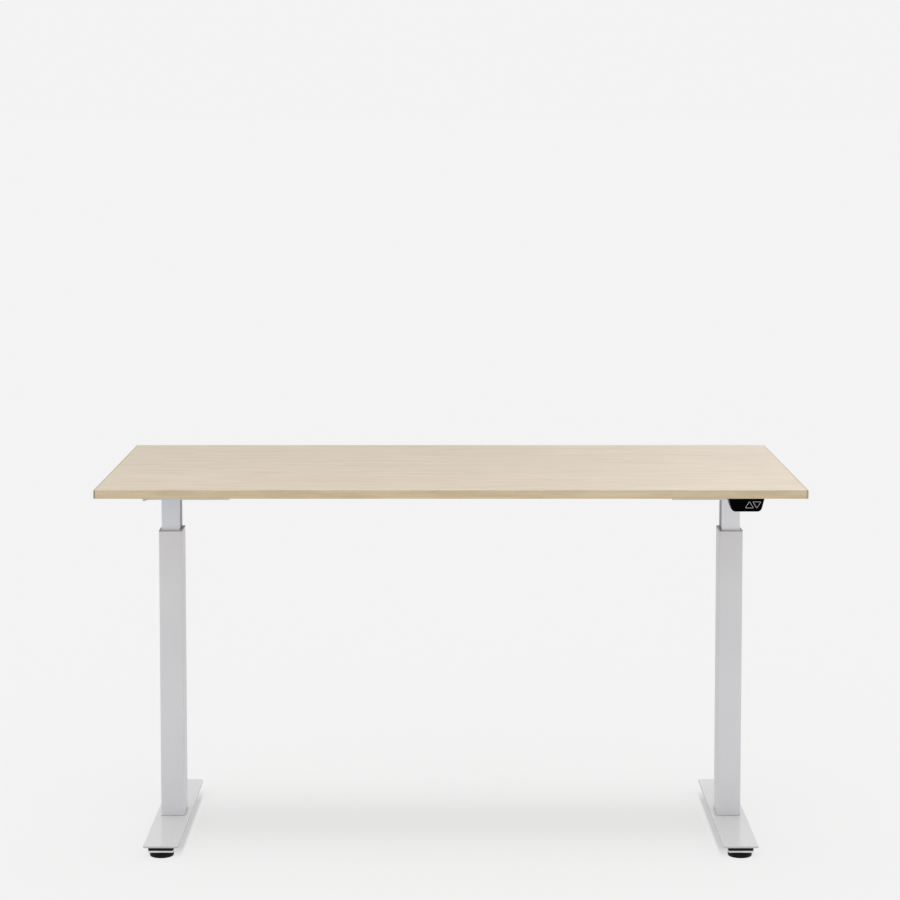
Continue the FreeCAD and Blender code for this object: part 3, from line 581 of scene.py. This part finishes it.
# the inner tube has a pressed groove on each side, which holds a flat strip whose dark tone is painted
# shade
def makeInnerTube(side):
    settings = columnSettings
    node = f"{side}_inner_column"
    low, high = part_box(node)
    half = settings["grooveHalf"]
    bm = bmesh.new()
    addTube(bm, low, high, settings["innerRadius"], settings["innerWall"])
    for y in (-half, half):
        everything = list(bm.verts) + list(bm.edges) + list(bm.faces)
        bmesh.ops.bisect_plane(bm, geom=everything, plane_co=(0, y, 0), plane_no=(0, 1, 0))
    bm.normal_update()
    flanks = [face for face in bm.faces if abs(face.normal.x) > 0.99
              and abs(face.calc_center_median().y) < half
              and min(abs(face.calc_center_median().x - low[0]),
                      abs(face.calc_center_median().x - high[0])) < 1e-5]
    for face in flanks:
        bmesh.ops.inset_region(bm, faces=[face], thickness=settings["grooveSlope"],
                               depth=-settings["grooveDepth"], use_even_offset=True)
    # painted light: the right inner tube takes the lighter copy of the coat
    coat = "inner_coat" if side == "left" else "inner_painted_light"
    makePiece(f"{side}_inner_tube", bm, coat, "lifted_frame", [node],
              settings["rimBevel"] / 2)
    gap = settings["stripGap"]
    strips = bmesh.new()
    for x, inward in ((low[0], 1), (high[0], -1)):
        back = x + inward * (settings["grooveDepth"] + settings["stripRecess"])
        front = back - inward * settings["stripThickness"]
        addBlock(strips, (min(back, front), -half + 2 * gap, low[2] + 2 * gap),
                 (max(back, front), half - 2 * gap, high[2] - 2 * gap))
    # painted shade: the strips' dark tone darkens the tube's sides
    makePiece(f"{side}_sliding_strips", strips, "painted_shade_strip", "lifted_frame",
              bevel=settings["stripBevel"])


def makeCollars():
    settings = columnSettings
    bm = bmesh.new()
    collarLow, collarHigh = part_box("column_collars")
    for side in sides:
        low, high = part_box(f"{side}_outer_column")
        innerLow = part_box(f"{side}_inner_column")[0]
        wall = innerLow[0] - low[0] - settings["collarGap"]
        ring = bmesh.new()
        addTube(ring, (low[0], low[1], collarLow[2]), (high[0], high[1], collarHigh[2]),
                settings["outerRadius"], wall)
        addMesh(bm, ring)
    makePiece("collar_rims", bm, "collar_plastic", "base", ["column_collars"],
              settings["collarBevel"])


for side in sides:
    makeOuterTube(side)
    makeInnerTube(side)
makeCollars()
print("columns made")


# feet: flat plates with broken edges, and the round levellers that carry them
footSettings = {
    "cornerRadius": 3.0 * millimetre,
    "edgeBevel": 0.25 * millimetre,
}
levellerSettings = {
    "soleRadius": 25.0 * millimetre,
    "soleHeight": 1.6 * millimetre,
    "grooveHeight": 7.0 * millimetre,
    "grooveDepth": 0.5 * millimetre,
    "crownRadius": 25.2 * millimetre,
    "crownHeight": 1.4 * millimetre,
    "hubRise": 1.2 * millimetre,
    "boreRadius": 5.05 * millimetre,
    "boreFloor": 5.0 * millimetre,
    "edgeRounding": 0.7 * millimetre,
    "plateHalfX": 27.2 * millimetre,
    "plateHalfY": 24.9 * millimetre,
    "plateCorner": 4.0 * millimetre,
    "plateBore": 5.6 * millimetre,
    "plateGap": 0.2 * millimetre,
    "plateBevel": 0.3 * millimetre,
    "socketBevel": 0.3 * millimetre,
    "studRadius": 4.0 * millimetre,
    "headRadius": 5.0 * millimetre,
    "headGap": 0.4 * millimetre,
    "neckRise": 0.3 * millimetre,
    "threadOverlap": 0.4 * millimetre,
    "threadPitch": 1.25 * millimetre,
    "threadDepth": 0.65 * millimetre,
    "threadFlat": 0.16 * millimetre,
}


def makeFeet():
    settings = footSettings
    for side in sides:
        node = f"{side}_foot_plate"
        bm = bmesh.new()
        addBlock(bm, *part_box(node))
        roundEdges(bm, edgesWhere(bm, upright), settings["cornerRadius"], 5)
        makePiece(f"{side}_foot", bm, "foot_coat", "base", [node], settings["edgeBevel"])


def makePad(side, end):
    settings = levellerSettings
    node = f"{side}_{end}_pad"
    low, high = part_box(node)
    centre = ((low[0] + high[0]) / 2, (low[1] + high[1]) / 2)
    radius = (high[0] - low[0]) / 2
    top = high[2]
    groove, inset = settings["grooveHeight"], settings["grooveDepth"]
    outline = [
        (0.0, 0.0), (settings["soleRadius"], 0.0), (radius, settings["soleHeight"]),
        (radius, groove - inset), (radius - inset, groove), (radius, groove + inset),
        (radius, top - settings["hubRise"] - settings["crownHeight"]),
        (settings["crownRadius"], top - settings["hubRise"]),
        (settings["boreRadius"], top - settings["hubRise"]),
        (settings["boreRadius"], settings["boreFloor"]), (0.0, settings["boreFloor"])]
    bm = bmesh.new()
    addTurned(bm, outline, centre)
    rounded = ringEdges(bm, radius, settings["soleHeight"], centre)
    rounded += ringEdges(bm, settings["soleRadius"], 0.0, centre)
    rounded += ringEdges(bm, settings["crownRadius"], top - settings["hubRise"], centre)
    roundEdges(bm, rounded, settings["edgeRounding"], 4)
    makePiece(f"{side}_{end}_leveller", bm, "black_plastic", f"{side}_{end}_pad", [node],
              smoothAngle=40.0)


# the plated plate under each socket, which the pad's stud passes through
def makeSocketPlates():
    settings = levellerSettings
    bm = bmesh.new()
    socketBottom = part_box("leveller_sockets")[0][2]
    for side in sides:
        for end in ends:
            low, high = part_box(f"{side}_{end}_pad")
            centre = ((low[0] + high[0]) / 2, (low[1] + high[1]) / 2)
            bottom = high[2] + settings["plateGap"]
            plate = bmesh.new()
            halfX, halfY = settings["plateHalfX"], settings["plateHalfY"]
            corners = [plate.verts.new((x, y, 0.0)) for x, y in
                       ((-halfX, -halfY), (halfX, -halfY), (halfX, halfY), (-halfX, halfY))]
            plate.faces.new(corners)
            bmesh.ops.bevel(plate, geom=corners, offset=settings["plateCorner"], segments=6, profile=0.5,
                            affect="VERTICES", material=-1)
            bmesh.ops.delete(plate, geom=plate.faces[:], context="FACES_ONLY")
            bmesh.ops.create_circle(plate, cap_ends=False, radius=settings["plateBore"], segments=28)
            bmesh.ops.bridge_loops(plate, edges=plate.edges)
            sheet = bmesh.ops.extrude_face_region(plate, geom=plate.faces[:])["geom"]
            lifted = [item for item in sheet if isinstance(item, bmesh.types.BMVert)]
            bmesh.ops.translate(plate, vec=(0, 0, socketBottom - bottom), verts=lifted)
            bmesh.ops.translate(plate, vec=(*centre, bottom), verts=plate.verts)
            addMesh(bm, plate)
    makePiece("leveller_plates", bm, "bright_plate", "base", bevel=settings["plateBevel"])


def makeStud(side, end):
    settings = levellerSettings
    node = f"{side}_{end}_stud"
    low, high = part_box(node)
    centre = ((low[0] + high[0]) / 2, (low[1] + high[1]) / 2)
    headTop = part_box(f"{side}_{end}_pad")[1][2] - settings["headGap"]
    crest = settings["studRadius"]
    root = crest - settings["threadDepth"]
    neck = headTop + settings["neckRise"]
    bm = bmesh.new()
    addTurned(bm, [(0.0, low[2]), (settings["headRadius"], low[2]), (settings["headRadius"], headTop),
                   (root, headTop), (root, neck + millimetre), (0.0, neck + millimetre)], centre, 40)
    addThread(bm, centre, neck - settings["threadOverlap"], high[2], crest, root,
              settings["threadPitch"], settings["threadFlat"])
    makePiece(f"{side}_{end}_screw", bm, "zinc_steel", f"{side}_{end}_stud", [node])


makeFeet()
for side in sides:
    for end in ends:
        makePad(side, end)
        makeStud(side, end)
makeSocketPlates()
refineNode("leveller_sockets", levellerSettings["socketBevel"])
print("feet and levellers made")


# lifting spindles with their trapezoid thread, and the toothed wheels that turn them
driveSettings = {
    "threadRoot": 5.4 * millimetre,
    "threadCrest": 7.0 * millimetre,
    "threadLead": 8.0 * millimetre,
    "threadFlat": 2.4 * millimetre,
    "journalRadius": 6.0 * millimetre,
    "teeth": 20,
    "toothDepth": 2.0 * millimetre,
    "toothBevel": 0.2 * millimetre,
    "wheelBore": 6.0 * millimetre,
}


def makeSpindle(side):
    settings = driveSettings
    node = f"{side}_spindle"
    low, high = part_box(node)
    centre = ((low[0] + high[0]) / 2, (low[1] + high[1]) / 2)
    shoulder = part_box(f"{side}_gear_head")[0][2] + millimetre
    bm = bmesh.new()
    addTurned(bm, [(0.0, shoulder - millimetre), (settings["threadCrest"], shoulder - millimetre),
                   (settings["threadCrest"], shoulder), (settings["journalRadius"], shoulder),
                   (settings["journalRadius"], high[2]), (0.0, high[2])], centre, 48)
    addTurned(bm, [(0.0, low[2]), (settings["threadRoot"] - millimetre, low[2]),
                   (settings["threadRoot"], low[2] + millimetre),
                   (settings["threadRoot"], shoulder - millimetre), (0.0, shoulder - millimetre)],
              centre, 28)
    addThread(bm, centre, low[2] + millimetre, shoulder - millimetre, settings["threadCrest"],
              settings["threadRoot"], settings["threadLead"], settings["threadFlat"])
    makePiece(f"{side}_lifting_screw", bm, "turned_steel", f"{side}_spindle_drive", [node])


def makeWormWheel(side):
    settings = driveSettings
    node = f"{side}_worm_wheel"
    low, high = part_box(node)
    centre = Vector(((low[0] + high[0]) / 2, (low[1] + high[1]) / 2, 0.0))
    radius = (high[0] - low[0]) / 2
    bm = bmesh.new()
    bmesh.ops.create_circle(bm, cap_ends=False, radius=radius, segments=settings["teeth"] * 4)
    for number, vertex in enumerate(bm.verts):
        if number % 4 in (0, 1):
            vertex.co *= 1.0 - settings["toothDepth"] / radius
    outer = list(bm.edges)
    inner = bmesh.ops.create_circle(bm, cap_ends=False, radius=settings["wheelBore"],
                                    segments=settings["teeth"] * 4)["verts"]
    innerEdges = [edge for edge in bm.edges if edge.verts[0] in inner and edge.verts[1] in inner]
    bmesh.ops.bridge_loops(bm, edges=outer + innerEdges)
    lifted = bmesh.ops.extrude_face_region(bm, geom=list(bm.faces))["geom"]
    topVerts = [item for item in lifted if isinstance(item, bmesh.types.BMVert)]
    bmesh.ops.translate(bm, vec=(0, 0, high[2] - low[2]), verts=topVerts)
    bmesh.ops.translate(bm, vec=centre + Vector((0, 0, low[2])), verts=bm.verts)
    makePiece(f"{side}_worm_gear", bm, "gear_bronze", f"{side}_spindle_drive", [node],
              settings["toothBevel"])


for side in sides:
    makeSpindle(side)
    makeWormWheel(side)
print("drives made")


# control box under the top: a plastic shell with a row of ribs on its underside
boxSettings = {
    "ribCount": 11,
    "ribLength": 44.0 * millimetre,
    "ribWidth": 2.2 * millimetre,
    "ribPitch": 6.0 * millimetre,
    "ribHeight": 1.0 * millimetre,
    "ribsFromMiddle": 45.0 * millimetre,
    "ribBevel": 0.3 * millimetre,
    "caseBevel": 0.3 * millimetre,
}


def makeRibs(underside, middle):
    settings = boxSettings
    bm = bmesh.new()
    first = -(settings["ribCount"] - 1) / 2
    for number in range(settings["ribCount"]):
        x = middle[0] + (first + number) * settings["ribPitch"] + settings["ribsFromMiddle"]
        made = addBlock(bm, (x - settings["ribWidth"] / 2, middle[1] - settings["ribLength"] / 2,
                             underside - settings["ribHeight"]),
                        (x + settings["ribWidth"] / 2, middle[1] + settings["ribLength"] / 2,
                         underside + settings["ribHeight"]))
        corners = set(made)
        edges = [edge for edge in bm.edges if edge.verts[0] in corners and edge.verts[1] in corners
                 and upright(edge.verts[0].co, edge.verts[1].co)]
        roundEdges(bm, edges, settings["ribWidth"] * 0.45, 3)
    makePiece("control_box_ribs", bm, "black_plastic", "lifted_frame",
              bevel=settings["ribBevel"])


def makeControlBox():
    refineNode("control_box_case", boxSettings["caseBevel"])
    low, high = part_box("control_box_case")
    makeRibs(low[2], ((low[0] + high[0]) / 2, (low[1] + high[1]) / 2))


# tapered strain reliefs where each lead leaves a housing
reliefSettings = {
    "length": 16.0 * millimetre,
    "rootRadius": 4.6 * millimetre,
    "tipWall": 0.5 * millimetre,
    "flange": 1.6 * millimetre,
    "flangeProud": 1.2 * millimetre,
    "ribs": 4,
    "ribDepth": 0.5 * millimetre,
    "edgeBevel": 0.15 * millimetre,
}


def makeRelief(name, exitPoint, direction, leadRadius):
    settings = reliefSettings
    tip = leadRadius + settings["tipWall"]
    rim = settings["rootRadius"] + settings["flangeProud"]
    outline = [(0.0, 0.0), (rim, 0.0), (rim, settings["flange"])]
    step = (settings["length"] - settings["flange"]) / (2 * settings["ribs"])
    for number in range(2 * settings["ribs"]):
        along = settings["flange"] + number * step
        share = number / (2 * settings["ribs"] - 1)
        radius = settings["rootRadius"] + (tip - settings["rootRadius"]) * share
        dip = settings["ribDepth"] if number % 2 else 0.0
        outline += [(radius - dip, along), (radius - dip, along + step)]
    outline.append((0.0, settings["length"]))
    bm = bmesh.new()
    addTurned(bm, outline, (0.0, 0.0), 32)
    turn = Vector((0, 0, 1)).rotation_difference(Vector(direction)).to_matrix()
    bmesh.ops.rotate(bm, cent=(0, 0, 0), matrix=turn, verts=bm.verts)
    bmesh.ops.translate(bm, vec=exitPoint, verts=bm.verts)
    makePiece(name, bm, "lead_sheath", "lifted_frame", bevel=settings["edgeBevel"])


def makeReliefs():
    boxLow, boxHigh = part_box("control_box_case")
    for side, sign in (("left", -1), ("right", 1)):
        low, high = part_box(f"{side}_motor_lead")
        leadRadius = (high[2] - low[2]) / 2
        height = (low[2] + high[2]) / 2
        boxEnd = boxHigh[0] if sign > 0 else boxLow[0]
        headX = (high[0] if sign > 0 else low[0]) - sign * leadRadius
        leadY = high[1] - leadRadius
        makeRelief(f"{side}_motor_relief_box", (boxEnd, leadY, height), (sign, 0, 0), leadRadius)
        makeRelief(f"{side}_motor_relief_head", (headX, low[1], height), (0, 1, 0), leadRadius)
    low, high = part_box("keypad_lead")
    leadRadius = (high[2] - low[2]) / 2
    height = (low[2] + high[2]) / 2
    makeRelief("keypad_relief_box", (low[0] + leadRadius, boxLow[1], height), (0, -1, 0), leadRadius)
    makeRelief("keypad_relief_case", (high[0] - leadRadius, low[1], height), (0, 1, 0), leadRadius)


makeControlBox()
makeReliefs()
print("control box and leads made")


# keypad buttons: rounded triangles, each with a pale outline printed just inside its edge
buttonSettings = {
    "directions": {"up": 1, "down": -1},
    "tipExtra": 2.9 * millimetre,
    "sideExtra": 2.6 * millimetre,
    "cornerLength": 3.0 * millimetre,
    "lineInset": 0.45 * millimetre,
    "lineWidth": 0.8 * millimetre,
    "lineRise": 0.06 * millimetre,
    "edgeBevel": 0.2 * millimetre,
}


def makeButton(name):
    settings = buttonSettings
    node = f"{name}_button"
    low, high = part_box(node)
    points = settings["directions"][name]
    middleX = (low[0] + high[0]) / 2
    half = (high[0] - low[0] + settings["sideExtra"]) / 2
    base, tip = (low[2], high[2]) if points > 0 else (high[2], low[2])
    tip += points * settings["tipExtra"] / 2
    bm = bmesh.new()
    corners = [bm.verts.new(place) for place in
               ((middleX - half, low[1], base), (middleX + half, low[1], base), (middleX, low[1], tip))]
    bm.faces.new(corners)
    bmesh.ops.bevel(bm, geom=corners, offset=settings["cornerLength"], segments=6, profile=0.5,
                    affect="VERTICES", material=-1)
    middle = bm.faces[:][0]
    bmesh.ops.inset_individual(bm, faces=[middle], thickness=settings["lineInset"], use_even_offset=True)
    bmesh.ops.delete(bm, geom=[face for face in bm.faces if face is not middle], context="FACES")
    bmesh.ops.inset_individual(bm, faces=[middle], thickness=settings["lineWidth"], use_even_offset=True)
    bmesh.ops.delete(bm, geom=[middle], context="FACES_ONLY")
    ring = bmesh.ops.extrude_face_region(bm, geom=list(bm.faces))["geom"]
    front = [item for item in ring if isinstance(item, bmesh.types.BMVert)]
    bmesh.ops.translate(bm, vec=(0, -settings["lineRise"], 0), verts=front)
    makePiece(f"{name}_outline", bm, "arrow_print", node)
    refineNode(node, settings["edgeBevel"])


makeButton("up")
makeButton("down")
print("keypad made")


# a plain floor with its own even glow, with painted shadow under the desk and beside its feet
stageSettings = {
    "floorSize": 4000.0,
    "floorColour": 0.15,
    "floorGlow": 0.752,
    "backdrop": 0.896,
    # painted shadow: depth and spread of the shade painted into the floor's glow
    "shadeDepth": 0.088,
    "shadeHalfDepth": 0.17,
    "shadeMiddle": 0.02,
    "shadeEdge": 0.02,
    "footShade": 0.235,
    "footShadeReach": 0.007,
    "footShadeEnds": (0.09, 0.01),
}


def makeFloor():
    settings = stageSettings
    bm = bmesh.new()
    bmesh.ops.create_grid(bm, x_segments=1, y_segments=1, size=settings["floorSize"] / 2)
    mesh = bpy.data.meshes.new("studioFloor")
    bm.to_mesh(mesh)
    bm.free()
    floor = bpy.data.objects.new("studioFloor", mesh)
    bpy.context.scene.collection.objects.link(floor)
    material, tree, shader = startMaterial("studioFloor", {"Roughness": 1.0, "Specular IOR Level": 0.0})
    grey = settings["floorColour"]
    shader.inputs["Base Color"].default_value = (grey, grey, grey, 1.0)
    shader.inputs["Emission Color"].default_value = (1.0, 1.0, 1.0, 1.0)
    # painted shadow: the glow is lowered in a soft band under the desk between the feet, and in a narrow
    # strip beside each foot's inner edge
    footLow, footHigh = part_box("right_foot_plate")
    parts = addNode(tree, "ShaderNodeSeparateXYZ", {"Vector": objectCoords(tree)})
    across = arithmetic(tree, "ABSOLUTE", parts.outputs["X"])
    along = arithmetic(tree, "SUBTRACT", parts.outputs["Y"], settings["shadeMiddle"])
    share = arithmetic(tree, "DIVIDE", along, settings["shadeHalfDepth"])
    fade = arithmetic(tree, "POWER", 2.0, arithmetic(tree, "MULTIPLY",
                                                     arithmetic(tree, "MULTIPLY", share, share), -1.0))
    edge = settings["shadeEdge"]
    between = spread(tree, across, footLow[0] - edge, footLow[0] + edge, 1.0, 0.0)
    shade = arithmetic(tree, "MULTIPLY", arithmetic(tree, "MULTIPLY", fade, between),
                       settings["shadeDepth"])
    beside = spread(tree, across, footLow[0] - settings["footShadeReach"], footLow[0])
    under = spread(tree, across, footHigh[0] - edge, footHigh[0], 1.0, 0.0)
    fadeStart, fadeEnd = settings["footShadeEnds"]
    length = spread(tree, arithmetic(tree, "ABSOLUTE", parts.outputs["Y"]),
                    footHigh[1] - fadeStart, footHigh[1] - fadeEnd, 1.0, 0.0)
    beside = arithmetic(tree, "MULTIPLY", arithmetic(tree, "MULTIPLY", beside, under), length)
    shade = arithmetic(tree, "ADD", shade, arithmetic(tree, "MULTIPLY", beside, settings["footShade"]))
    glow = arithmetic(tree, "SUBTRACT", settings["floorGlow"], shade)
    tree.links.new(glow, shader.inputs["Emission Strength"])
    facing = addNode(tree, "ShaderNodeNewGeometry")
    clear = addNode(tree, "ShaderNodeBsdfTransparent")
    oneSided = addNode(tree, "ShaderNodeMixShader", {0: facing.outputs["Backfacing"],
                                                     1: shader.outputs[0], 2: clear.outputs[0]})
    output = tree.nodes["Material Output"]
    tree.links.new(oneSided.outputs[0], output.inputs["Surface"])
    mesh.materials.append(material)


# the room's light by direction: an even dome, brighter half way up and straight above,
# with a bright panel low behind the desk's right end
domeSettings = {
    "even": 0.66,
    "band": 0.26,
    "top": 1.5,
    "topEdge": 0.955,
    "topSoftness": 0.03,
    "sideTilt": -0.02,
    "panel": 3.7,
    "leastAhead": 0.05,
    "panelStart": 0.02,
    "panelFull": 0.15,
    "panelEnd": 0.38,
    "panelSoftness": 0.2,
    "panelHeight": 0.20,
    "panelFade": 0.05,
}


def makeDome():
    settings = domeSettings
    world = bpy.data.worlds.new("studioDome")
    bpy.context.scene.world = world
    world.use_nodes = True
    tree = world.node_tree
    tree.nodes.clear()
    coords = addNode(tree, "ShaderNodeTexCoord")
    parts = addNode(tree, "ShaderNodeSeparateXYZ", {"Vector": coords.outputs["Generated"]})
    height = parts.outputs["Z"]
    rise = arithmetic(tree, "MAXIMUM", height, 0.0)
    bandShape = arithmetic(tree, "MULTIPLY", rise, arithmetic(tree, "SUBTRACT", 1.0, rise))
    light = arithmetic(tree, "ADD", arithmetic(tree, "MULTIPLY", bandShape, 4.0 * settings["band"]),
                       settings["even"])
    softness = settings["topSoftness"]
    above = spread(tree, height, settings["topEdge"] - softness, settings["topEdge"] + softness,
                   0.0, settings["top"])
    light = arithmetic(tree, "ADD", light, above)
    light = arithmetic(tree, "ADD", light,
                       arithmetic(tree, "MULTIPLY", parts.outputs["X"], settings["sideTilt"]))
    bearing = arithmetic(tree, "DIVIDE", parts.outputs["X"],
                         arithmetic(tree, "MAXIMUM", parts.outputs["Y"], settings["leastAhead"]))
    panel = arithmetic(tree, "MULTIPLY",
                       spread(tree, bearing, settings["panelStart"], settings["panelFull"]),
                       spread(tree, bearing, settings["panelEnd"],
                              settings["panelEnd"] - settings["panelSoftness"]))
    panelFoot = settings["panelHeight"] - settings["panelFade"]
    panel = arithmetic(tree, "MULTIPLY", panel,
                       spread(tree, height, settings["panelHeight"], panelFoot))
    light = arithmetic(tree, "ADD", light, arithmetic(tree, "MULTIPLY", panel, settings["panel"]))
    seen = addNode(tree, "ShaderNodeLightPath")
    strength = addNode(tree, "ShaderNodeMix", {0: seen.outputs["Is Camera Ray"], 2: light,
                                               3: stageSettings["backdrop"]}, data_type="FLOAT")
    background = addNode(tree, "ShaderNodeBackground", {"Strength": strength.outputs[0]})
    background.inputs["Color"].default_value = (1.0, 1.0, 1.0, 1.0)
    output = addNode(tree, "ShaderNodeOutputWorld")
    tree.links.new(background.outputs[0], output.inputs["Surface"])


# a long lens a little above the top, looking slightly down
cameraSettings = {
    "sensorWidth": 36.0,
    "farthestSeen": 5000.0,
    "lens": 101.65,
    "shiftY": -0.1439,
    "pitchDegrees": 4.46,
    "aheadOfFront": 5.2816,
    "aboveTop": 0.7690,
    "leftOfMiddle": 0.0018,
}


def makeCamera():
    settings = cameraSettings
    data = bpy.data.cameras.new("studioCamera")
    data.lens = settings["lens"]
    data.sensor_width = settings["sensorWidth"]
    data.shift_y = settings["shiftY"]
    data.clip_end = settings["farthestSeen"]
    camera = bpy.data.objects.new("studioCamera", data)
    bpy.context.scene.collection.objects.link(camera)
    camera.location = ((cadLow[0] + cadHigh[0]) / 2 - settings["leftOfMiddle"],
                       cadLow[1] - settings["aheadOfFront"], cadHigh[2] + settings["aboveTop"])
    camera.rotation_euler = (math.radians(90.0 - settings["pitchDegrees"]), 0.0, 0.0)
    bpy.context.scene.camera = camera


makeFloor()
makeDome()
makeCamera()
bpy.context.scene.view_settings.view_transform = "Standard"
print("studio made")
